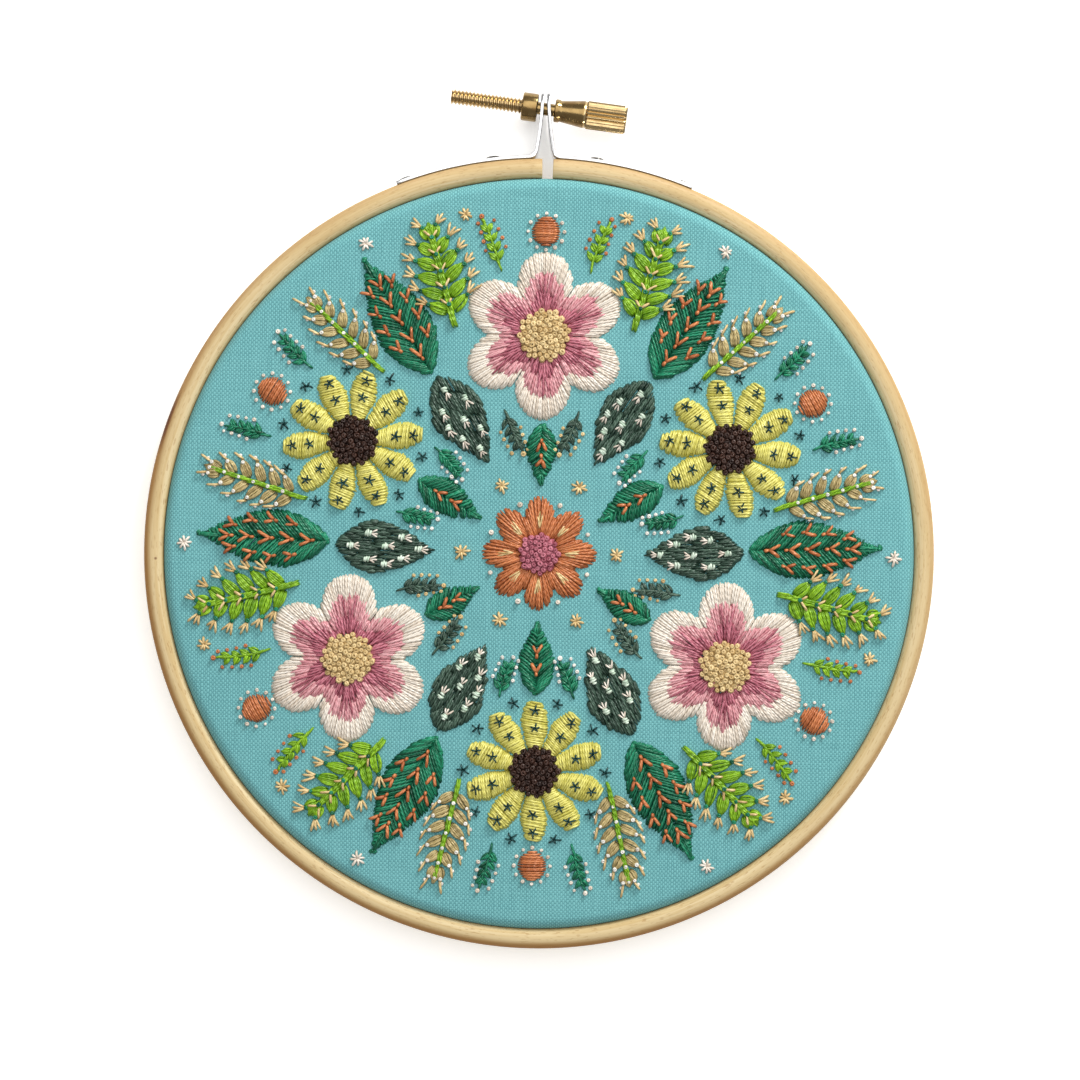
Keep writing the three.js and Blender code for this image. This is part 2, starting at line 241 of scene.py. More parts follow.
def bare_beech(name):
    """Pale bent wood. Its grain runs round the ring, so it is read in arc length, radius and height."""
    wood = Finish(name, Specular_IOR_Level=0.3)
    x, y, z = wood.parts(wood.about(HOOP_CENTRE))
    radius = (x * x + y * y) ** 0.5
    angle = x.math("ARCTAN2", y * -1)
    along = angle * OUTER_RADIUS
    fibres = wood.noise(wood.vector(along * 60, radius * 2400, z * 2400), 1.0, 4.0, 0.65)
    bands = wood.noise(wood.vector(along * 14, radius * 520, z * 520), 1.0, 2.0)
    pores = wood.noise(wood.vector(along * 620, radius * 3800, z * 3800), 1.0, 1.0).between(0.60, 0.70)
    figure = (fibres * 0.6 + bands * 0.6).between(0.46, 0.74)
    colour = wood.mix(figure, WOOD["pale"], WOOD["mid"])
    colour = wood.mix(pores * 0.45, colour, WOOD["dark"])
    wander = wood.noise(wood.vector(along * 40, radius * 60, 0.0), 1.0, 3.0)
    heart = (radius + wander * 1.6 * MM).between(OUTER_RADIUS - 2.3 * MM, OUTER_RADIUS - 1.5 * MM)
    colour = wood.mix(heart * 0.42, colour, WOOD["mid"])
    face = z.between(RING_DEPTH - 3.2 * MM, RING_DEPTH - 1.6 * MM)
    # The outer edge of the face is painted dark brown: partly the wood's own darker edge, partly painted
    # shade, stronger on the lower left, away from the light.
    rim = (radius + wander * 0.8 * MM).between(OUTER_RADIUS - 1.5 * MM, OUTER_RADIUS)
    shaded_side = (x * SHADED_SIDE[0] + y * SHADED_SIDE[1]).between(-0.6 * OUTER_RADIUS, 0.7 * OUTER_RADIUS)
    colour = wood.mix(rim * face * (0.4 + 0.6 * shaded_side), colour, WOOD["dark"])
    # Painted shade: a dark line along the bore's edge, where the cloth's shoulder shades the ring.
    bore_shade = 1 - radius.between(BORE_RADIUS, BORE_RADIUS + 0.45 * MM)
    colour = wood.mix(bore_shade * 0.45, colour, WOOD["dark"])
    scorch = 1 - (angle - SCORCH_ANGLE).size().between(0.02, 0.10)
    ragged = (radius + wander * 1.2 * MM).between(OUTER_RADIUS - 0.5 * MM, OUTER_RADIUS + 0.1 * MM)
    colour = wood.mix(scorch * ragged * face * 0.9, colour, WOOD["knot"])
    aside = along - SPECK_ANGLE * OUTER_RADIUS
    speck = ((aside * aside) + (radius - (OUTER_RADIUS - 2.6 * MM)) ** 2) ** 0.5
    colour = wood.mix(0.75 - 0.75 * speck.between(0.12 * MM, 0.42 * MM), colour, WOOD["knot"])
    wood.feed(Base_Color=colour, Roughness=0.5 + 0.15 * fibres)
    wood.feed(Normal=wood.bump(fibres + pores * -0.5, 0.12 * MM, 0.5))
    return wood.material


WEAVE_PITCH = 0.44
# The warp and weft colours are one teal, the warp painted lit and the weft in painted shade.
COTTON = {"warp": (0.205, 0.515, 0.53), "weft": (0.115, 0.335, 0.355), "hollow_shade": (0.03, 0.115, 0.14)}


def plain_weave():
    """Teal cotton in plain weave. Its flat map is in millimetres, so the pitch holds on the bend."""
    cotton = Finish("plain_weave", Roughness=0.85, Specular_IOR_Level=0.2, Sheen_Weight=0.08)
    across, up, _ = cotton.parts(cotton.map_named("flat"))
    wander = cotton.noise(cotton.vector(across * 0.3, up * 0.3, 0.0), 1.0, 2.0) * 0.3
    warp_drift = cotton.noise(cotton.vector(across * 1.2, up * 0.1, 11.0), 1.0, 1.0) * 0.45
    weft_drift = cotton.noise(cotton.vector(across * 0.1, up * 1.2, 17.0), 1.0, 1.0) * 0.45
    warp_turn = ((across + wander + warp_drift) * (math.pi / WEAVE_PITCH)).math("COSINE")
    weft_turn = ((up + wander + weft_drift) * (math.pi / WEAVE_PITCH)).math("COSINE")
    over = warp_turn * weft_turn
    warp = warp_turn.size() ** 0.6 * (0.5 + 0.5 * over)
    weft = weft_turn.size() ** 0.6 * (0.5 - 0.5 * over)
    height = warp.math("MAXIMUM", weft)
    warp_tone = cotton.noise(cotton.vector(across * 2.3, up * 0.12, 0.0), 1.0, 1.0)
    weft_tone = cotton.noise(cotton.vector(across * 0.12, up * 2.3, 7.0), 1.0, 1.0)
    cloudy = cotton.noise(cotton.vector(across * 0.05, up * 0.05, 3.0), 1.0, 2.0)
    # Where the warp lies on top the cloth takes the lit teal, where the weft does the shaded teal, with
    # random tone from the noises.
    on_top = (warp - weft + (warp_tone - weft_tone) * 0.9 + (cloudy - 0.5) * 0.5).between(-0.5, 0.5)
    colour = cotton.mix(on_top, COTTON["weft"], COTTON["warp"])
    # Painted shade in the hollows of the weave, between the threads.
    hollow_shade = 1 - height.between(0.08, 0.42)
    cotton.feed(Base_Color=cotton.mix(hollow_shade * 0.85, colour, COTTON["hollow_shade"]))
    cotton.feed(Normal=cotton.bump(height, 0.12 * MM, 0.5))
    return cotton.material


NICKEL = {"clean": (0.66, 0.66, 0.67), "worn": (0.40, 0.39, 0.37)}
DULL_STEEL = {"clean": (0.20, 0.195, 0.18), "worn": (0.10, 0.095, 0.085)}
BRASS = {"bright": (0.58, 0.43, 0.22), "dull": (0.30, 0.205, 0.085), "tarnish": (0.17, 0.095, 0.032)}


def plated_steel(name, clean, worn):
    """Plated steel with faint rubbed marks."""
    nickel = Finish(name, Metallic=1.0)
    place = nickel.about(HOOP_CENTRE)
    rubbed = nickel.noise(place, 900.0, 3.0)
    marks = nickel.noise(place, 5200.0, 1.0).between(0.6, 0.8)
    nickel.feed(Base_Color=nickel.mix(marks * 0.3, clean, worn))
    nickel.feed(Roughness=0.12 + 0.16 * rubbed)
    return nickel.material


def turned_brass():
    """Satin brass: tarnished on the nut and the taper, and bright on the thread and the grip."""
    brass = Finish("turned_brass", Metallic=1.0)
    place = brass.about(SCREW_POINT)
    x, y, _ = brass.parts(place)
    along = x * SCREW_AXIS.x + y * SCREW_AXIS.y
    tarnish = brass.noise(place, 420.0, 4.0).between(0.38, 0.70)
    past_thread = along.between(NUT_START - 0.4 * MM, NUT_START)
    past_taper = along.between(SCREW_HEAD - 0.2 * MM, SCREW_HEAD)
    dull = past_thread - past_taper
    metal = brass.mix(dull, BRASS["bright"], BRASS["dull"])
    brass.feed(Base_Color=brass.mix(tarnish * (0.25 + 0.4 * dull), metal, BRASS["tarnish"]))
    brass.feed(Roughness=0.18 + 0.14 * tarnish)
    return brass.material


def stranded_floss(name, dark, light):
    """Mercerised cotton floss: each strand has its own shade, and its plies twist round it."""
    tint = tuple(0.35 + 0.65 * channel**0.5 for channel in light)
    floss = Finish(f"floss_{name}", Roughness=0.33, Specular_IOR_Level=0.75, Specular_Tint=(*tint, 1.0))
    shade = floss.node("ShaderNodeAttribute", {"attribute_name": "shade"}, output="Fac")
    around, along, _ = floss.parts(floss.map_named("thread"))
    ply = ((around * 2 + along * 0.85) * math.tau).sine()
    # Painted shade in the grooves between the twisted plies.
    groove_shade = 1 - ply.between(-1.0, 0.0)
    colour = floss.mix(shade, dark, light)
    floss.feed(Base_Color=floss.mix(groove_shade * 0.45, colour, dark))
    floss.feed(Normal=floss.bump(ply, 0.06 * MM, 0.6))
    return floss.material


beech = bare_beech("bare_beech")
weave = plain_weave()
nickel_plate = plated_steel("bright_nickel", **NICKEL)
rivet_steel = plated_steel("dull_rivet", **DULL_STEEL)
brass_finish = turned_brass()
floss_finish = {name: stranded_floss(name, *tones) for name, tones in FLOSS.items()}


# Making pieces

def add_piece(name, mesh, body, nodes):
    made = bpy.data.objects.new(name, mesh)
    bpy.context.scene.collection.objects.link(made)
    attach(made, body)
    if nodes:
        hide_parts(*nodes)
    return made


def hard_piece(name, bm, finish, node, body="hoop"):
    """A piece from a bmesh in its place, shaded smooth with its edges kept."""
    mesh = bpy.data.meshes.new(name)
    bm.to_mesh(mesh)
    bm.free()
    mesh.shade_smooth()
    mesh.set_sharp_from_angle(angle=SHARP)
    mesh.materials.append(finish)
    return add_piece(name, mesh, body, [node])


def profile_edges(bm, points, closed):
    """Vertices and edges along a profile of radius and height, in the plane y = 0."""
    verts = [bm.verts.new((radius, 0, height)) for radius, height in points]
    following = verts[1:] + verts[:1] if closed else verts[1:]
    edges = [bm.edges.new(pair) for pair in zip(verts, following)]
    return verts + edges


def turned(points, steps, closed=False, turn=math.tau):
    """A profile spun about Z."""
    bm = bmesh.new()
    whole = turn == math.tau
    geom = profile_edges(bm, points, closed)
    bmesh.ops.spin(bm, geom=geom, cent=(0, 0, 0), axis=(0, 0, 1), angle=turn, steps=steps, use_merge=whole)
    bmesh.ops.remove_doubles(bm, verts=bm.verts, dist=1e-7)
    return bm


def face_out(bm):
    bmesh.ops.recalc_face_normals(bm, faces=bm.faces)


def arc(centre, radius, start, end, steps):
    angles = np.radians(np.linspace(start, end, steps + 1))
    return [(centre[0] + radius * math.cos(a), centre[1] + radius * math.sin(a)) for a in angles]


def ease(bm, edges, offset):
    """Rounds edges over by a small bevel."""
    bmesh.ops.bevel(
        bm, geom=edges, offset=offset, offset_type="OFFSET", affect="EDGES", segments=2, profile=0.5,
        material=-1,
    )


def round_sharp_edges(bm, offset):
    ease(bm, [e for e in bm.edges if len(e.link_faces) == 2 and e.calc_face_angle(0) > SHARP], offset)


# Rings

def ring_section(bore, rim, depth, crown, back_rounding):
    """A ring's section: a flat back with eased corners, and a face that is crowned from edge to edge."""
    middle, half = (bore + rim) / 2, (rim - bore) / 2
    turns = np.linspace(0, math.pi, 19)
    return [
        *arc((rim - back_rounding, back_rounding), back_rounding, -90, 0, 4),
        *((middle + half * math.cos(turn), depth - crown + crown * math.sin(turn)) for turn in turns),
        *arc((bore + back_rounding, back_rounding), back_rounding, 180, 270, 4),
    ]


def outer_ring():
    gap = SPLIT_WIDTH / (OUTER_RADIUS - RING_WIDTH / 2)
    section = ring_section(BORE_RADIUS, OUTER_RADIUS, RING_DEPTH, RING_CROWN, RING_BACK)
    bm = turned(section, RING_STEPS, closed=True, turn=math.tau - gap)
    bmesh.ops.holes_fill(bm, edges=[e for e in bm.edges if e.is_boundary], sides=0)
    face_out(bm)
    ends = {e for f in bm.faces if len(f.edges) > 4 for e in f.edges}
    ease(bm, list(ends), 0.2 * MM)
    split_to_top = Matrix.Rotation(math.pi / 2 + gap / 2, 3, "Z")
    bmesh.ops.rotate(bm, verts=bm.verts, cent=(0, 0, 0), matrix=split_to_top)
    bmesh.ops.translate(bm, verts=bm.verts, vec=HOOP_CENTRE)
    return hard_piece("wooden_outer_ring", bm, beech, "outer_ring")


def inner_ring():
    """The inner ring, which presses the cloth against the outer one."""
    rim = BORE_RADIUS - CLOTH_THICKNESS
    depth = CLOTH_FRONT - CLOTH_THICKNESS
    section = ring_section(INNER_RADIUS - INNER_WIDTH, rim, depth, INNER_CROWN, INNER_BACK)
    bm = turned(section, RING_STEPS, closed=True)
    face_out(bm)
    bmesh.ops.translate(bm, verts=bm.verts, vec=HOOP_CENTRE)
    return hard_piece("wooden_inner_ring", bm, beech, "inner_ring")


# Cloth

def pucker(x, y):
    """The slight unevenness that close stitching leaves in stretched cloth."""
    turns = math.tau / PUCKER["wavelength"]
    first = math.sin(turns * x + 1.7 * math.sin(turns * 0.41 * y))
    second = math.sin(turns * 0.83 * y + 1.3 * math.sin(turns * 0.37 * x + 2.0))
    return PUCKER["height"] * first * second


def cloth():
    """The drumhead: flat inside, turned down over the inner ring's shoulder and held between the rings."""
    flat_radius = BORE_RADIUS - CLOTH_BEND
    bend_height = CLOTH_FRONT - CLOTH_BEND
    rings = np.linspace(0, flat_radius, 46)[:-1]
    profile = [(radius, CLOTH_FRONT) for radius in rings]
    profile += arc((flat_radius, bend_height), CLOTH_BEND, 90, 0, 12)
    profile += [(BORE_RADIUS, height) for height in np.linspace(bend_height, CLOTH_LOW.z, 6)[1:]]
    bm = turned(profile, 200)
    face_out(bm)
    if sum(f.normal.z for f in bm.faces) < 0:
        bmesh.ops.reverse_faces(bm, faces=bm.faces)
    flat = bm.loops.layers.uv.new("flat")
    for face in bm.faces:
        for loop in face.loops:
            reach = math.hypot(loop.vert.co.x, loop.vert.co.y)
            past = max(0.0, reach - flat_radius)
            lean = math.atan2(past, loop.vert.co.z - bend_height) if past else 0
            drop = max(0.0, bend_height - loop.vert.co.z)
            length = min(reach, flat_radius) + CLOTH_BEND * min(lean, math.pi / 2) + drop
            stretch = length / reach / MM if reach > 0 else 0
            loop[flat].uv = (loop.vert.co.x * stretch, loop.vert.co.y * stretch)
    for vert in bm.verts:
        hold = min(1.0, max(0.0, (flat_radius - math.hypot(vert.co.x, vert.co.y)) / CLOTH_BEND))
        vert.co.z += hold * pucker(vert.co.x, vert.co.y)
    bmesh.ops.translate(bm, verts=bm.verts, vec=HOOP_CENTRE)
    made = hard_piece("stretched_cloth", bm, weave, "cloth")
    wall = made.modifiers.new("thickness", "SOLIDIFY")
    wall.thickness = CLOTH_THICKNESS
    wall.offset = -1
    cut = flat_radius + CLOTH_BEND * math.pi / 2 + bend_height - CLOTH_LOW.z
    cut * 2
    cut * 2
    math.pi * cut**2
    return made


# Clamp

SCREW_TURN = Matrix.Rotation(math.atan2(SCREW_AXIS.y, SCREW_AXIS.x), 4, "Z")
SCREW_PLACE = Matrix.Translation(SCREW_POINT) @ SCREW_TURN
Z_TO_X = Matrix.Rotation(math.pi / 2, 4, "Y")


def on_screw(bm):
    """Stands a shape that was turned about Z on the screw's axis."""
    bmesh.ops.transform(bm, matrix=SCREW_PLACE @ Z_TO_X, verts=bm.verts)


def lug(side):
    """The bent plated strip, seated on the ring, with the sharp edges of its solid eased."""
    node = f"lug_{side}"
    bm = bmesh.new()
    bm.from_mesh(frame["nodes"][node].data)
    bmesh.ops.remove_doubles(bm, verts=bm.verts, dist=1e-6)
    bmesh.ops.dissolve_limit(bm, angle_limit=math.radians(0.5), verts=bm.verts, edges=bm.edges)
    for vert in bm.verts:
        spoke = (vert.co - HOOP_CENTRE) * Vector((1, 1, 0))
        if spoke.length < OUTER_RADIUS + STRIP_TOP:
            vert.co -= spoke.normalized() * STRIP_GAP
    face_out(bm)
    round_sharp_edges(bm, 0.12 * MM)
    return hard_piece(f"plated_{node}", bm, nickel_plate, node)


def rivet(node):
    """A domed rivet head, seated on the strip and pointing out from the hoop."""
    low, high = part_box(node)
    middle = (low + high) / 2 - HOOP_CENTRE
    outward = Vector((middle.x, middle.y, 0)).normalized()
    profile = [(0, 0), (RIVET_RADIUS, 0), *arc((0, -0.25 * MM), RIVET_RADIUS, 10, 40, 3)]
    rise = RIVET_HEIGHT / profile[-1][1]
    profile = [(radius, max(0.0, height) * rise) for radius, height in profile]
    profile += [(profile[-1][0] * 0.5, RIVET_HEIGHT * 1.08), (0, RIVET_HEIGHT * 1.12)]
    bm = turned(profile, 24)
    face_out(bm)
    seat = middle - outward * (RIVET_HEIGHT / 2 + STRIP_GAP * 2)
    turn = outward.to_track_quat("Z", "Y").to_matrix().to_4x4()
    bmesh.ops.transform(bm, matrix=Matrix.Translation(seat + HOOP_CENTRE) @ turn, verts=bm.verts)
    return hard_piece(f"head_{node}", bm, rivet_steel, node)


def nut():
    bore = THREAD_RADIUS + 0.05 * MM
    edge = 0.3 * MM
    profile = [
        (bore, NUT_START + edge),
        (bore + edge, NUT_START),
        *arc((NUT_RADIUS - edge, NUT_START + edge), edge, -90, 0, 3),
        *arc((NUT_RADIUS - edge, NUT_END - edge), edge, 0, 90, 3),
        (bore + edge, NUT_END),
        (bore, NUT_END - edge),
    ]
    bm = turned(profile, 48, closed=True)
    face_out(bm)
    on_screw(bm)
    return hard_piece("brass_nut", bm, brass_finish, "nut")


def add_thread(bm):
    """One ridge wound up the shank as a right-hand thread, trimmed square at its ends."""
    turn_steps = 20
    turns = math.ceil((NUT_END - SCREW_TIP) / THREAD_PITCH) + 2
    root = THREAD_RADIUS - THREAD_DEPTH
    start = SCREW_TIP - THREAD_PITCH
    radii = (root, root, THREAD_RADIUS, THREAD_RADIUS, root, root)
    shares = (0.0, 0.14, 0.44, 0.58, 0.88, 1.0)
    section = [(radius, start + share * THREAD_PITCH) for radius, share in zip(radii, shares)]
    ridge = profile_edges(bm, section, closed=False)
    steps = turn_steps * turns
    step = Vector((0, 0, THREAD_PITCH / turn_steps))
    bmesh.ops.spin(
        bm, geom=ridge, cent=(0, 0, 0), axis=(0, 0, 1), dvec=step, angle=math.tau * turns, steps=steps
    )
    bmesh.ops.remove_doubles(bm, verts=bm.verts, dist=2e-6)
    for height, side in ((SCREW_TIP, -1), (NUT_END, 1)):
        whole = bm.verts[:] + bm.edges[:] + bm.faces[:]
        cut = bmesh.ops.bisect_plane(
            bm, geom=whole, plane_co=(0, 0, height), plane_no=(0, 0, side), clear_outer=True
        )
        rim = [e for e in cut["geom_cut"] if isinstance(e, bmesh.types.BMEdge)]
        bmesh.ops.holes_fill(bm, edges=rim, sides=0)


def add_neck(bm):
    """The plain shank through the ears, the collar and the taper up to the head."""
    shank = (THREAD_RADIUS - THREAD_DEPTH) * 1.02
    shank_start = NUT_END - 0.6 * MM
    edge = 0.18 * MM
    foot = Vector((TAPER_RADII[0], SCREW_TAPER + edge))
    top = Vector((TAPER_RADII[1], SCREW_HEAD - edge))
    profile = [
        (0, shank_start),
        (shank, shank_start),
        (shank, SCREW_NECK),
        (NECK_RADIUS - edge, SCREW_NECK),
        (NECK_RADIUS, SCREW_NECK + edge),
        (NECK_RADIUS, SCREW_TAPER - edge),
        *(foot.lerp(top, share) for share in (0.0, 0.06, 0.94, 1.0)),
        (TAPER_RADII[1] - edge, GRIP_START),
        (0, GRIP_START),
    ]
    geom = profile_edges(bm, profile, closed=False)
    bmesh.ops.spin(bm, geom=geom, cent=(0, 0, 0), axis=(0, 0, 1), angle=math.tau, steps=48, use_merge=True)


def add_grip(bm):
    """The knurled head: straight ribs, a broken edge at each end and a shallow dish in its end face."""
    points_per_rib = 6
    count = HEAD_RIBS * points_per_rib
    ring = bmesh.ops.create_circle(bm, cap_ends=True, radius=1.0, segments=count)["verts"]
    for index, vert in enumerate(ring):
        wave = 0.5 + 0.5 * math.cos(math.tau * index / points_per_rib)
        radius = HEAD_RADIUS - RIB_DEPTH * (1 - wave) ** 1.2
        angle = math.tau * index / count
        vert.co = (radius * math.cos(angle), radius * math.sin(angle), GRIP_START)
    base = ring[0].link_faces[0]
    bmesh.ops.scale(bm, verts=ring, vec=(0.9, 0.9, 1), space=Matrix.Identity(4))
    grown = base
    hold = (1.0, 0.15 * MM)
    shaft = (1.0, SCREW_END - SCREW_HEAD - 1.3 * MM)
    steps = ((1 / 0.9, 0.3 * MM), hold, shaft, hold, (0.9, 0.4 * MM), (0.72, -0.15 * MM))
    for spread, rise in steps:
        grown = bmesh.ops.extrude_discrete_faces(bm, faces=[grown])["faces"][0]
        bmesh.ops.scale(bm, verts=grown.verts, vec=(spread, spread, 1))
        bmesh.ops.translate(bm, verts=grown.verts, vec=(0, 0, rise))


def thumb_screw():
    bm = bmesh.new()
    add_thread(bm)
    add_neck(bm)
    add_grip(bm)
    bmesh.ops.remove_doubles(bm, verts=bm.verts, dist=1e-7)
    face_out(bm)
    on_screw(bm)
    return hard_piece("brass_thumb_screw", bm, brass_finish, "thumb_screw", body="thumb_screw")


# Needlework. Stitches are laid in millimetres on the cloth, each as a thin flattened tube of thread.

STRAND = 0.46
STRAND_FLAT = 0.8
THREAD_SIDES = 6
STITCH_RINGS = 7
SINK = 0.12


class Needlework:
    """The stitches of one motif, gathered as thread paths and made into one mesh."""

    def __init__(self, seed):
        self.draw = np.random.default_rng(seed)
        self.batches = []
        self.colours = []
        self.stand((0, 0), 0)

    def stand(self, place, angle):
        """Lays what follows in a frame at a place on the cloth, turned by an angle."""
        self.place = np.array(place, float)
        self.turn = np.array([[math.cos(angle), math.sin(angle)], [-math.sin(angle), math.cos(angle)]])

    def lay(self, floss, paths, width, taper=0.55, flat=STRAND_FLAT):
        """Adds paths of shape (stitches, rings, 3). Each stitch gets a shade of its own."""
        if floss not in self.colours:
            self.colours.append(floss)
        shade = np.clip(self.draw.normal(0.57, 0.28, len(paths)), 0, 1)
        widths = width * self.draw.normal(1.0, 0.07, len(paths))
        placed = np.concatenate([paths[:, :, :2] @ self.turn + self.place, paths[:, :, 2:]], 2)
        self.batches.append((self.colours.index(floss), placed, widths, shade, taper, flat))

    def stitch(
        self, floss, starts, ends, lift, low=-SINK, width=STRAND * 1.12, bow=0.0, loose=0.12, bed=False
    ):
        """Straight stitches that come up at starts, lie over what is under them and go down at ends."""
        starts = np.asarray(starts, float) + self.draw.normal(0, loose, (len(starts), 2))
        ends = np.asarray(ends, float) + self.draw.normal(0, loose, (len(ends), 2))
        share = np.linspace(0, 1, STITCH_RINGS)
        run = ends - starts
        length = np.maximum(np.linalg.norm(run, axis=1), 1e-6)[:, None]
        aside = np.stack([-run[:, 1], run[:, 0]], 1) / length
        bows = np.broadcast_to(bow, len(starts)) + self.draw.normal(0, 0.05, len(starts))
        flat = starts[:, None] + run[:, None] * share[None, :, None]
        flat = flat + aside[:, None] * (bows[:, None] * np.sin(np.pi * share))[:, :, None]
        rise = 1 - np.abs(2 * share - 1) ** 3
        tops = np.broadcast_to(lift, len(starts)) * self.draw.normal(1.0, 0.08, len(starts))
        height = low + (tops - low)[:, None] * rise[None, :]
        self.lay(floss, np.concatenate([flat, height[:, :, None]], 2), width)
        if bed:
            under = low + (tops * 0.55 - low)[:, None] * rise[None, :]
            self.lay(floss, np.concatenate([flat, under[:, :, None]], 2)[::2], width * 2.4, flat=0.3)

    def knots(self, floss, centres, size=1.0, low=0.0):
        """French knots: a thread wound round on itself and drawn down through its middle."""
        centres = np.asarray(centres, float)
        share = np.linspace(0, 1, 14)
        start = self.draw.uniform(0, math.tau, len(centres))
        turn = start[:, None] + share[None, :] * math.tau * 1.9
        sizes = size * self.draw.normal(1.0, 0.1, len(centres))
        reach = sizes[:, None] * (0.50 - 0.36 * share[None, :] ** 1.6)
        base = np.broadcast_to(low, len(centres))[:, None]
        height = base + sizes[:, None] * (0.14 + 0.58 * np.sin(share * 2.3)[None, :])
        flat = centres[:, None] + reach[:, :, None] * np.stack([np.cos(turn), np.sin(turn)], 2)
        self.lay(floss, np.concatenate([flat, height[:, :, None]], 2), size * 0.52, taper=0.8, flat=0.95)

    def mesh(self, name):
        """One mesh of all the stitches."""
        tubes = [tube_arrays(*batch) for batch in self.batches]
        verts = np.concatenate([t["verts"] for t in tubes])
        counts = np.cumsum([0] + [len(t["verts"]) for t in tubes])[:-1]
        faces = np.concatenate([t["faces"] + first for t, first in zip(tubes, counts)])
        where = verts * MM + np.array([*HOOP_CENTRE.xy, CLOTH_FRONT])
        made = bpy.data.meshes.new(name)
        made.vertices.add(len(where))
        made.vertices.foreach_set("co", where.ravel())
        made.loops.add(faces.size)
        made.loops.foreach_set("vertex_index", faces.ravel())
        made.polygons.add(len(faces))
        made.polygons.foreach_set("loop_start", np.arange(0, faces.size, 4))
        made.polygons.foreach_set("material_index", np.concatenate([t["finish"] for t in tubes]))
        made.polygons.foreach_set("use_smooth", np.ones(len(faces), bool))
        made.update(calc_edges=True)
        thread_map = np.concatenate([t["map"] for t in tubes])
        made.uv_layers.new(name="thread").uv.foreach_set("vector", thread_map.ravel())
        shade = made.attributes.new("shade", "FLOAT", "POINT")
        shade.data.foreach_set("value", np.concatenate([t["shade"] for t in tubes]))
        for colour in self.colours:
            made.materials.append(floss_finish[colour])
        return made


def tube_arrays(finish, paths, widths, shade, taper, flatness):
    """Vertices, faces, thread map and shade of closed thread tubes that follow paths."""
    count, rings, _ = paths.shape
    sides = THREAD_SIDES
    along = np.gradient(paths, axis=1)
    along /= np.maximum(np.linalg.norm(along, axis=2, keepdims=True), 1e-9)
    aside = np.stack([-along[:, :, 1], along[:, :, 0], np.zeros((count, rings))], 2)
    aside /= np.maximum(np.linalg.norm(aside, axis=2, keepdims=True), 1e-9)
    over = np.cross(along, aside)
    turn = np.arange(sides) * math.tau / sides
    share = np.linspace(0, 1, rings)
    thick = np.minimum(1.0, taper + (1 - taper) * np.minimum(share, 1 - share) * 6)
    half = widths[:, None, None, None] / 2 * thick[None, :, None, None]
    round_x = np.cos(turn)[None, None, :, None]
    round_y = np.sin(turn)[None, None, :, None] * flatness
    verts = paths[:, :, None] + half * (aside[:, :, None] * round_x + over[:, :, None] * round_y)
    ring, side = np.meshgrid(np.arange(rings - 1), np.arange(sides), indexing="ij")
    following = (side + 1) % sides
    corners = ((ring, side), (ring, following), (ring + 1, following), (ring + 1, side))
    wall = np.stack([row * sides + column for row, column in corners], 2).reshape(-1, 4)
    last = (rings - 1) * sides
    start_cap = np.array([[0, 5, 4, 3], [0, 3, 2, 1]])
    end_cap = np.array([[0, 1, 2, 3], [0, 3, 4, 5]]) + last
    caps = np.concatenate([start_cap, end_cap])
    one = np.concatenate([wall, caps])
    faces = (one[None] + (np.arange(count) * rings * sides)[:, None, None]).reshape(-1, 4)
    steps = np.linalg.norm(np.diff(paths, axis=1), axis=2)
    length = np.concatenate([np.zeros((count, 1)), np.cumsum(steps, axis=1)], 1)
    around = np.stack([side, side + 1, side + 1, side], 2).reshape(-1, 4) / sides
    wall_ring = np.stack([ring, ring, ring + 1, ring + 1], 2).reshape(-1, 4)
    wall_map = np.stack([np.broadcast_to(around, (count, *around.shape)), length[:, wall_ring]], 3)
    cap_map = np.zeros((count, len(caps), 4, 2))
    thread_map = np.concatenate([wall_map, cap_map], 1).reshape(-1, 2)
    # Painted shade: each strand darkens towards its ends, where it goes into the cloth and under other
    # stitches.
    lit = shade[:, None] * (1 - 0.55 * np.abs(2 * share - 1) ** 3)[None, :]
    return {
        "verts": verts.reshape(-1, 3),
        "faces": faces.astype(np.int32),
        "map": thread_map.astype(np.float32),
        "shade": np.repeat(lit.ravel(), sides).astype(np.float32),
        "finish": np.full(len(faces), finish, np.int32),
    }


def points(x, y):
    return np.stack(np.broadcast_arrays(np.asarray(x, float), np.asarray(y, float)), 1)


# Fillings, each in the motif's own frame: it starts at the origin and grows along X, or is centred on it

def leaf_edge(along, width):
    return width / 2 * np.sin(np.pi * along**0.8)


def fishbone(work, floss, length, width, slope=0.95, lift=0.75):
    """Slanting stitches from each edge that cross over at the midrib."""
    steps = int(length / (STRAND * 1.35))
    along = (np.arange(steps) + 0.6) / steps
    edge = leaf_edge(along, width)
    foot = np.maximum(along * length - slope * edge, 0.2)
    for side in (1, -1):
        lifts = np.minimum(lift, 0.35 + edge * 0.14)
        outer, inner = points(along * length, side * edge), points(foot, -side * 0.3)
        work.stitch(floss, outer, inner, lifts, bow=side * 0.12, bed=True)
    tip = points([length] * 3, [-0.15, 0.0, 0.15])
    work.stitch(floss, tip, points([length * 0.8] * 3, [-0.4, 0.0, 0.4]), lift)


def long_and_short(work, floss, length, width, reach=5.2, lift=0.6):
    """Rows along the leaf, with the stitches of neighbouring rows ending at different places."""
    grid = np.linspace(0, 1, 240)
    edge = leaf_edge(grid, width)
    rows = np.arange(-width / 2 + STRAND / 2, width / 2, STRAND)
    starts, ends = [], []
    for row in rows:
        inside = grid[edge > abs(row)]
        if len(inside) < 2:
            continue
        first, last = inside[0] * length, inside[-1] * length
        at = first
        stride = reach * work.draw.uniform(0.35, 1.0)
        while at < last - 0.8:
            to = min(at + stride, last)
            starts.append((max(at - 0.5, first), row))
            ends.append((to, row))
            at = to
            stride = reach * work.draw.uniform(0.85, 1.15)
    work.stitch(floss, np.array(starts), np.array(ends), lift, loose=0.09, bed=True)


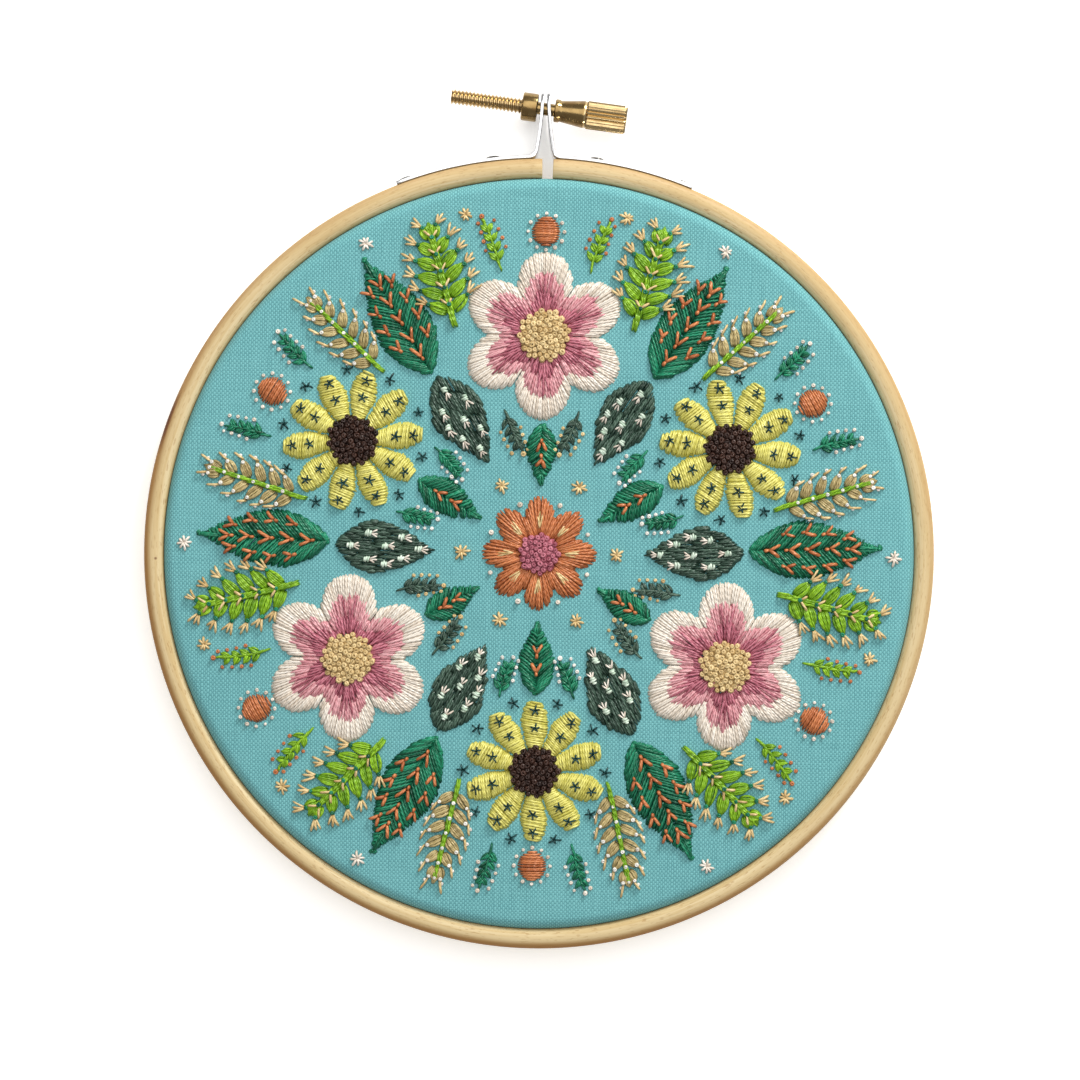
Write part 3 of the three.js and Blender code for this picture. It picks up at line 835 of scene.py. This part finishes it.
def leaflets(work, floss, feet, tips, strands=5, lift=0.65):
    """Small pointed leaves, each a few stitches side by side that draw together at the tip."""
    feet, tips = np.asarray(feet, float), np.asarray(tips, float)
    run = tips - feet
    reach = np.linalg.norm(run, axis=1)[:, None]
    aside = np.stack([-run[:, 1], run[:, 0]], 1) / reach
    for strand in range(strands):
        offset = (strand - (strands - 1) / 2) * STRAND
        inset = abs(offset) / (strands * STRAND) * 0.5
        starts = feet + aside * offset * 0.6 + run * inset * 0.25
        ends = tips + aside * offset * 0.3 - run * inset
        work.stitch(floss, starts, ends, lift, bow=offset * 0.45, loose=0.07)


def stem(work, floss, route, lift=0.5, strands=2):
    """Stem stitch: overlapping stitches that lean across the line they follow."""
    route = np.asarray(route, float)
    steps = np.linalg.norm(np.diff(route, axis=0), axis=1)
    place = np.concatenate([[0], np.cumsum(steps)])
    starts = np.arange(0, max(place[-1] - 1.2, 0.1), 1.3)
    ends = np.minimum(starts + 2.9, place[-1])

    def on_route(distance, aside):
        x, y = (np.interp(distance, place, route[:, axis]) for axis in (0, 1))
        ahead = [np.interp(np.minimum(distance + 0.1, place[-1]), place, route[:, axis]) for axis in (0, 1)]
        back = [np.interp(np.maximum(distance - 0.1, 0), place, route[:, axis]) for axis in (0, 1)]
        dx, dy = ahead[0] - back[0], ahead[1] - back[1]
        scale = aside / np.maximum(np.hypot(dx, dy), 1e-6)
        return points(x - dy * scale, y + dx * scale)

    for strand in range(strands):
        shift = (strand - (strands - 1) / 2) * STRAND * 0.8
        work.stitch(floss, on_route(starts, shift - 0.2), on_route(ends, shift + 0.2), lift, loose=0.06)


def fly_stitches(work, floss, feet, ways, reach, spread=0.5, low=0.3, lift=1.2, width=0.68):
    """Open V stitches, each tied at its foot, on top of a filling."""
    feet, ways = np.asarray(feet, float), np.asarray(ways, float)
    for side in (1, -1):
        arms = feet + reach * points(np.cos(ways + side * spread), np.sin(ways + side * spread))
        work.stitch(floss, feet, arms, lift, low=low, width=width, loose=0.14)
    ties = feet - 0.8 * points(np.cos(ways), np.sin(ways))
    work.stitch(floss, feet, ties, lift, low=low, width=width, loose=0.05)


def rays(work, floss, feet, ways, reach, count, spread, low=-SINK, lift=0.8, width=STRAND * 1.15):
    """Straight stitches that fan out from each foot."""
    feet, ways = np.asarray(feet, float), np.asarray(ways, float)
    for ray in range(count):
        turn = (ray - (count - 1) / 2) * spread
        lengths = reach * work.draw.normal(1.0, 0.12, len(feet))
        ends = feet + lengths[:, None] * points(np.cos(ways + turn), np.sin(ways + turn))
        work.stitch(floss, feet, ends, lift, low=low, width=width, loose=0.08)


# Motifs

def emerald_leaf(work, size):
    fishbone(work, "emerald", size["length"], size["width"])
    places = np.arange(0.14, 0.86, 0.155) * size["length"]
    fly_stitches(work, "rust", points(places, 0), np.zeros(len(places)), 2.9)
    side = np.arange(0.27, 0.76, 0.155) * size["length"]
    for aside in (1, -1):
        reach = leaf_edge(side / size["length"], size["width"]) * 0.62
        fly_stitches(work, "rust", points(side, aside * reach), np.full(len(side), aside * 0.3), 2.3)


def sepal(work, size):
    fishbone(work, "emerald", size["length"], size["width"], lift=0.65)
    places = np.array([0.3, 0.55]) * size["length"]
    fly_stitches(work, "rust", points(places, 0), np.zeros(2), 2.2)


def bottle_leaf(work, size):
    length, width = size["length"], size["width"]
    long_and_short(work, "bottle", length, width)
    along = np.array([0.16, 0.33, 0.33, 0.5, 0.5, 0.66, 0.66, 0.83])
    aside = np.array([0.0, 0.26, -0.26, 0.03, -0.33, 0.22, -0.2, 0.0])
    feet = points(along * length, aside * width)
    for bar, half in ((-0.42, 0.5), (-0.02, 0.78), (0.38, 0.6)):
        starts, ends = feet + [bar, -half], feet + [bar + 0.15, half]
        work.stitch("mint", starts, ends, 1.15, low=0.25, loose=0.1)
    ways = np.zeros(len(feet))
    rays(work, "cream", feet + [0.55, 0], ways, 1.7, 3, 0.5, low=0.3, lift=0.95, width=STRAND * 0.75)


def frond_teeth(size, stem_share=0.16):
    """Feet and tips of the side leaves of a frond, on both sides of its stem."""
    pairs = np.arange(size["pairs"])
    pitch = (1 - stem_share) / size["pairs"]
    root = stem_share + pairs * pitch
    reach = size["width"] / 2 * np.sin(np.pi * (0.25 + 0.7 * (pairs + 0.5) / size["pairs"]))
    feet = [points((root - pitch * 0.05) * size["length"], side * 0.3) for side in (1, -1)]
    tips = [points((root + pitch * 0.95) * size["length"], side * reach) for side in (1, -1)]
    return feet, tips


def lime_frond(work, size):
    feet, tips = frond_teeth(size)
    for foot, tip in zip(feet, tips):
        leaflets(work, "lime", foot, tip, strands=6, lift=0.75)
    leaflets(work, "lime", [(size["length"] * 0.86, 0)], [(size["length"] * 1.02, 0)], strands=4)
    stem(work, "lime", [(0, 0), (size["length"] * 0.95, 0)], lift=0.85, strands=3)
    for side, tip in zip((1, -1), tips):
        ways = np.full(len(tip), side * 0.85)
        rays(work, "straw", tip - [0.5, side * 0.4], ways, 2.7, 3, 0.42, low=0.1, lift=0.85)
        work.knots("emerald", tip - [0.6, side * 0.5], 0.72, low=0.45)
    spots = points(np.linspace(0.22, 0.86, 5) * size["length"], 0)
    rays(work, "straw", spots, np.zeros(5), 2.2, 2, 1.5, low=0.5, lift=1.15)
    work.knots("emerald", spots, 0.72, low=0.75)


def straw_ear(work, size):
    feet, tips = frond_teeth(size)
    for side, foot, tip in zip((1, -1), feet, tips):
        leaflets(work, "tan", foot, tip, strands=5, lift=0.75)
        ways = np.full(len(tip), side * 0.35)
        rays(work, "straw", tip - [0.7, side * 0.4], ways, 2.6, 1, 0.0, low=0.1, lift=0.7)
        work.knots("white", foot * 0.25 + tip * 0.75, 0.66, low=0.55)
        work.knots("white", tip + [0.2, side * 0.25], 0.6, low=0.1)
    leaflets(work, "tan", [(size["length"] * 0.88, 0)], [(size["length"] * 1.03, 0)], strands=4)
    stem(work, "lime", [(0, 0), (size["length"] * 0.97, 0)], lift=0.8, strands=2)
    work.knots("white", points(np.linspace(0.24, 0.96, 6) * size["length"], 0), 0.62, low=0.6)


def petal_axes(size):
    return np.arange(size["petals"]) * math.tau / size["petals"]


def petal_reach(turn, size):
    """Distance from a blossom's middle to its edge, at an angle from a petal's own middle."""
    wave = np.abs(np.cos(turn * size["petals"] / 2)) ** 0.7
    return size["radius"] * (size["notch"] + (1 - size["notch"]) * wave)


def petal_band(work, floss, size, start, end, lift, low, spacing=STRAND):
    """A row of stitches across each petal, from one share of its reach to another, spread like a fan."""
    half = math.pi / size["petals"]
    middle = (start + end) / 2
    count = int(2 * half * middle * size["radius"] * 0.92 / spacing)
    for axis in petal_axes(size):
        turn = np.linspace(-half * 0.93, half * 0.93, count)
        reach = petal_reach(turn, size)
        stagger = work.draw.uniform(-0.07, 0.07, (2, count))
        inner = np.maximum(start + stagger[0], 0.26) * reach
        outer = np.minimum(end + (stagger[1] if end < 0.99 else 0), 1.0) * reach
        drawn = axis + turn * (0.8 + 0.2 * end) * 0.94
        starts = points(inner * np.cos(drawn), inner * np.sin(drawn))
        ends = points(outer * np.cos(axis + turn), outer * np.sin(axis + turn))
        work.stitch(floss, starts, ends, lift, low=low, loose=0.08, bed=True)


def knot_disc(work, floss, radius, size, low):
    """French knots packed over a disc on a sunflower spiral, with a bed of wide stitches under them."""
    count = int((radius / (0.62 * size)) ** 2)
    index = np.arange(count) + 0.5
    reach = radius * np.sqrt(index / count)
    turn = index * math.pi * (3 - math.sqrt(5))
    dome = low + 0.5 * (1 - (reach / radius) ** 2)
    ways = np.linspace(0, math.tau, 26, endpoint=False)
    rim = radius * points(np.cos(ways), np.sin(ways))
    work.stitch(floss, rim, -rim * 0.3, low + 0.25, low=low - 0.3, width=STRAND * 2.6, loose=0.2)
    work.knots(floss, points(reach * np.cos(turn), reach * np.sin(turn)), size, low=dome)


def pink_blossom(work, size):
    petal_band(work, "cream", size, 0.66, 1.0, 0.55, -SINK)
    petal_band(work, "blush", size, 0.44, 0.78, 0.68, 0.0)
    petal_band(work, "rose", size, 0.27, 0.55, 0.8, 0.1, spacing=STRAND * 1.05)
    axes = petal_axes(size)
    feet = 0.36 * size["radius"] * points(np.cos(axes), np.sin(axes))
    rays(work, "rose", feet, axes, size["radius"] * 0.36, 3, 0.24, low=0.45, lift=1.0, width=STRAND * 0.9)
    knot_disc(work, "straw", size["radius"] * 0.3, 1.0, 0.45)


def satin_petals(work, floss, size, lift=0.85):
    """Petals filled from side to side."""
    half = math.pi / size["petals"]
    reach = np.arange(0.36, 0.995, STRAND * 1.04 / size["radius"])
    for axis in petal_axes(size):
        turn = np.linspace(0, half, 60)
        edge = petal_reach(turn, size) / size["radius"]
        wide = np.array([turn[edge >= r].max() if (edge >= r).any() else 0.0 for r in reach]) * 0.95
        radius = reach * size["radius"]
        skew = 0.35
        starts = points(radius * np.cos(axis + wide), radius * np.sin(axis + wide))
        near = radius - skew * wide * radius
        ends = points(near * np.cos(axis - wide), near * np.sin(axis - wide))
        lifts = np.minimum(lift, 0.4 + wide * radius * 0.22)
        work.stitch(floss, starts, ends, lifts, loose=0.08, bed=True)


def yellow_blossom(work, size):
    satin_petals(work, "yellow", size)
    axes = petal_axes(size)
    for reach in (0.6, 0.84):
        feet = reach * size["radius"] * points(np.cos(axes), np.sin(axes))
        rays(work, "pine", feet, axes, 1.15, 5, math.tau / 5, low=0.85, lift=1.25, width=STRAND * 0.8)
    between = axes + math.pi / size["petals"]
    feet = 0.98 * size["radius"] * points(np.cos(between), np.sin(between))
    rays(work, "pine", feet, between, 1.2, 5, math.tau / 5, lift=0.5, width=STRAND * 0.8)
    knot_disc(work, "umber", size["radius"] * 0.34, 1.0, 0.45)


def heart_blossom(work, size):
    petal_band(work, "rust", size, 0.3, 1.0, 0.75, -SINK)
    axes = petal_axes(size)
    feet = 0.42 * size["radius"] * points(np.cos(axes), np.sin(axes))
    rays(work, "straw", feet, axes, size["radius"] * 0.3, 3, 0.2, low=0.4, lift=0.98, width=STRAND * 0.8)
    between = axes + math.pi / size["petals"]
    work.knots("cream", 0.9 * size["radius"] * points(np.cos(between), np.sin(between)), 0.8)
    knot_disc(work, "rose", size["radius"] * 0.34, 0.95, 0.45)


def berry(work, size):
    rows = np.arange(-size["radius"] + STRAND / 2, size["radius"], STRAND)
    half = np.sqrt(size["radius"] ** 2 - rows**2)
    lifts = 0.5 + 0.5 * half / size["radius"]
    work.stitch("rust", points(rows, -half), points(rows, half), lifts, loose=0.06)
    turn = np.linspace(0, math.tau, 12, endpoint=False)
    edge = (size["radius"] + 0.75) * points(np.cos(turn), np.sin(turn))
    work.knots("cream", edge, 0.62)


def motif(node, make, slot, angle, at, turn=0, paired=False, **size):
    """A row of the wreath's table. Angle, from the middle of the repeat, and turn, from pointing out, are in
    degrees. At is the distance of the motif's foot or middle from the hoop's centre."""
    place = {"angle": angle, "at": at, "turn": turn, "sides": PAIR if paired else SINGLE}
    return {"node": node, "make": make, "slot": slot, "size": size, **place}


PAIR = ((1, "_left"), (-1, "_right"))
SINGLE = ((1, ""),)

# One repeat of the wreath, as the solids have it
WREATH = [
    motif("pink_blossom", pink_blossom, "pink_floss", 0, 45, radius=17.5, petals=6, notch=0.6),
    motif("yellow_blossom", yellow_blossom, "yellow_floss", 60, 45, radius=15, petals=10, notch=0.66),
    motif("pink_berry", berry, "rust_floss", 0, 66.5, radius=3),
    motif("yellow_berry", berry, "rust_floss", 60, 64.5, radius=3),
    motif("pink_sepal", sepal, "emerald_floss", 0, 26.6, turn=180, length=12.5, width=6.5),
    motif("yellow_sepal", sepal, "emerald_floss", 60, 29, turn=180, length=15, width=7.5),
    motif("emerald_leaf", emerald_leaf, "emerald_floss", 32.1, 43.5, paired=True, length=27, width=12),
    motif(
        "bottle_leaf", bottle_leaf, "bottle_floss", 31.4, 42.4,
        turn=181, paired=True, length=21, width=10.5,
    ),
    motif(
        "lime_frond", lime_frond, "lime_floss", 21.7, 49.8,
        turn=-6, paired=True, length=22.3, width=11.4, pairs=6,
    ),
    motif(
        "straw_ear", straw_ear, "straw_floss", 41.9, 49.2,
        turn=5, paired=True, length=22, width=9.2, pairs=6,
    ),
]
HEART = {"radius": 12, "petals": 8, "notch": 0.6}
WREATH_REPEATS = 3
WREATH_START = 90


def polar(at, angle):
    return np.array([at * math.cos(math.radians(angle)), at * math.sin(math.radians(angle))])


def work_motif(node, make, size, place, angle, seed):
    work = Needlework(seed)
    work.stand(place, math.radians(angle))
    make(work, size)
    return add_piece(f"stitched_{node}", work.mesh(node), "hoop", [node])


def wreath():
    work_motif("heart_blossom", heart_blossom, HEART, (0, 0), 0, 1)
    seed = 1
    for repeat in range(WREATH_REPEATS):
        for row in WREATH:
            for side, ending in row["sides"]:
                seed += 1
                out = WREATH_START + repeat * 360 / WREATH_REPEATS + side * row["angle"]
                node = f"{row['node']}_{repeat + 1}{ending}"
                angle = out + side * row["turn"]
                work_motif(node, row["make"], row["size"], polar(row["at"], out), angle, seed)


# Small sprigs between the motifs: leaf floss, knot floss, angle from the middle of the repeat, distance of
# the foot from the centre, turn from pointing out, length and sideways bend
SPRIGS = [
    ("lime", "rust", 9.0, 58.8, 4, 11.5, 1.6),
    ("emerald", "cream", 52.2, 60.4, -2, 10.0, -1.2),
    ("bottle", "straw", 14.5, 30.6, 181, 9.5, 1.4),
    ("emerald", "white", 45.5, 31.0, 183, 8.5, -1.2),
]
# Stars: floss, angle and distance from the centre
STARS = [("straw", 30, 16.0), ("cream", 30.5, 73.3), ("straw", 13.5, 71.6)]
SPRIG_SEED = 900


def sprig(work, floss, tip_floss, length, bend):
    """A curved stem with small leaves in turn on either side and a knot at its tip."""
    share = np.linspace(0, 1, 9)
    route = points(share * length, bend * share**2)
    stem(work, floss, route, lift=0.45, strands=1)
    roots = np.array([0.22, 0.4, 0.58, 0.76])
    for side in (1, -1):
        feet = points(roots * length, bend * roots**2)
        tips = feet + points(2.0 - roots * 0.7, side * (1.9 - roots * 0.8))
        leaflets(work, floss, feet, tips, strands=3, lift=0.5)
        work.knots(tip_floss, tips + [0.45, side * 0.4], 0.62)
    work.knots(tip_floss, [(length + 0.4, bend)], 0.8)


def sprigs():
    work = Needlework(SPRIG_SEED)
    for repeat in range(WREATH_REPEATS):
        for side in (1, -1):
            start = WREATH_START + repeat * 360 / WREATH_REPEATS
            for floss, tip_floss, angle, at, turn, length, bend in SPRIGS:
                out = start + side * angle
                work.stand(polar(at, out), math.radians(out + side * turn))
                sprig(work, floss, tip_floss, length, bend * side)
            for floss, angle, at in STARS:
                work.stand(polar(at, start + side * angle), math.radians(start))
                rays(work, floss, [(0, 0)], [0], 1.5, 8, math.tau / 8, low=0.0, lift=0.4)
    return add_piece("stitched_sprigs", work.mesh("sprigs"), "hoop", [])


outer_ring()
inner_ring()
cloth()
lug("left")
lug("right")
nut()
thumb_screw()
for end in ("left_near", "left_far", "right_near", "right_far"):
    rivet(f"rivet_{end}")
wreath()
sprigs()


# Surface, light and camera

PHOTO_WIDTH = 1080
PHOTO_SCALE = 0.2068 * MM
HOOP_IN_PHOTO = (539.0, 553.6)
PHOTO_ROLL = math.radians(1.3)
LENS = 85.0
SENSOR = 36.0
FLOOR_GLOW = 0.42
FLOOR_REACH = 12.0
FLOOR_GAP = 0.05 * MM
SKY = {"colour": (1.0, 0.99, 0.98, 1), "strength": 0.35}
OVERHEAD = {"place": (0.10, 0.28, 1.0), "size": 1.1, "power": 6.4, "colour": (1.0, 0.995, 0.985)}
WINDOW = {"place": (0.42, 0.80, 0.42), "size": 0.30, "power": 8.4, "colour": (1.0, 0.985, 0.96)}


def pale_floor():
    """A white table that glows a little, as a light table does, so that only close shadows show on it."""
    bm = bmesh.new()
    bmesh.ops.create_grid(bm, x_segments=4, y_segments=4, size=FLOOR_REACH)
    bmesh.ops.translate(bm, verts=bm.verts, vec=(0, 0, -FLOOR_GAP))
    mesh = bpy.data.meshes.new("floor")
    bm.to_mesh(mesh)
    bm.free()
    paper = Finish("pale_floor", Roughness=0.9, Specular_IOR_Level=0.1, Emission_Strength=FLOOR_GLOW)
    fibre = paper.noise(paper.about(HOOP_CENTRE), 60.0, 3.0)
    colour = paper.mix(fibre, (0.92, 0.915, 0.905), (0.94, 0.937, 0.93))
    paper.feed(Base_Color=colour, Emission_Color=colour)
    mesh.materials.append(paper.material)
    made = bpy.data.objects.new("floor", mesh)
    bpy.context.scene.collection.objects.link(made)


def soft_light(name, place, size, power, colour):
    lamp = bpy.data.lights.new(name, "AREA")
    lamp.shape = "DISK"
    lamp.size = size
    lamp.energy = power
    lamp.color = colour
    made = bpy.data.objects.new(name, lamp)
    made.location = place
    made.rotation_euler = (HOOP_CENTRE - Vector(place)).to_track_quat("-Z", "Y").to_euler()
    bpy.context.scene.collection.objects.link(made)


def studio():
    scene = bpy.context.scene
    world = bpy.data.worlds.new("studio")
    world.use_nodes = True
    background = world.node_tree.nodes["Background"]
    background.inputs["Color"].default_value = SKY["colour"]
    background.inputs["Strength"].default_value = SKY["strength"]
    scene.world = world
    soft_light("overhead", **OVERHEAD)
    soft_light("window", **WINDOW)
    scene.view_settings.view_transform = "Standard"


def photo_camera():
    """Straight above the hoop, turned as the photograph is, with the hoop where it is in that frame."""
    width = PHOTO_WIDTH * PHOTO_SCALE
    half_angle = math.atan(SENSOR / 2 / LENS)
    data = bpy.data.cameras.new("camera")
    data.lens = LENS
    data.sensor_width = SENSOR
    data.clip_start = 0.01
    made = bpy.data.objects.new("camera", data)
    aside = (PHOTO_WIDTH / 2 - HOOP_IN_PHOTO[0]) * PHOTO_SCALE
    up = (HOOP_IN_PHOTO[1] - PHOTO_WIDTH / 2) * PHOTO_SCALE
    shift = Matrix.Rotation(PHOTO_ROLL, 3, "Z") @ Vector((aside, up, 0))
    made.location = HOOP_CENTRE + shift + Vector((0, 0, RING_DEPTH + width / 2 / math.tan(half_angle)))
    made.rotation_euler = (0, 0, PHOTO_ROLL)
    bpy.context.scene.collection.objects.link(made)
    bpy.context.scene.camera = made


pale_floor()
studio()
photo_camera()
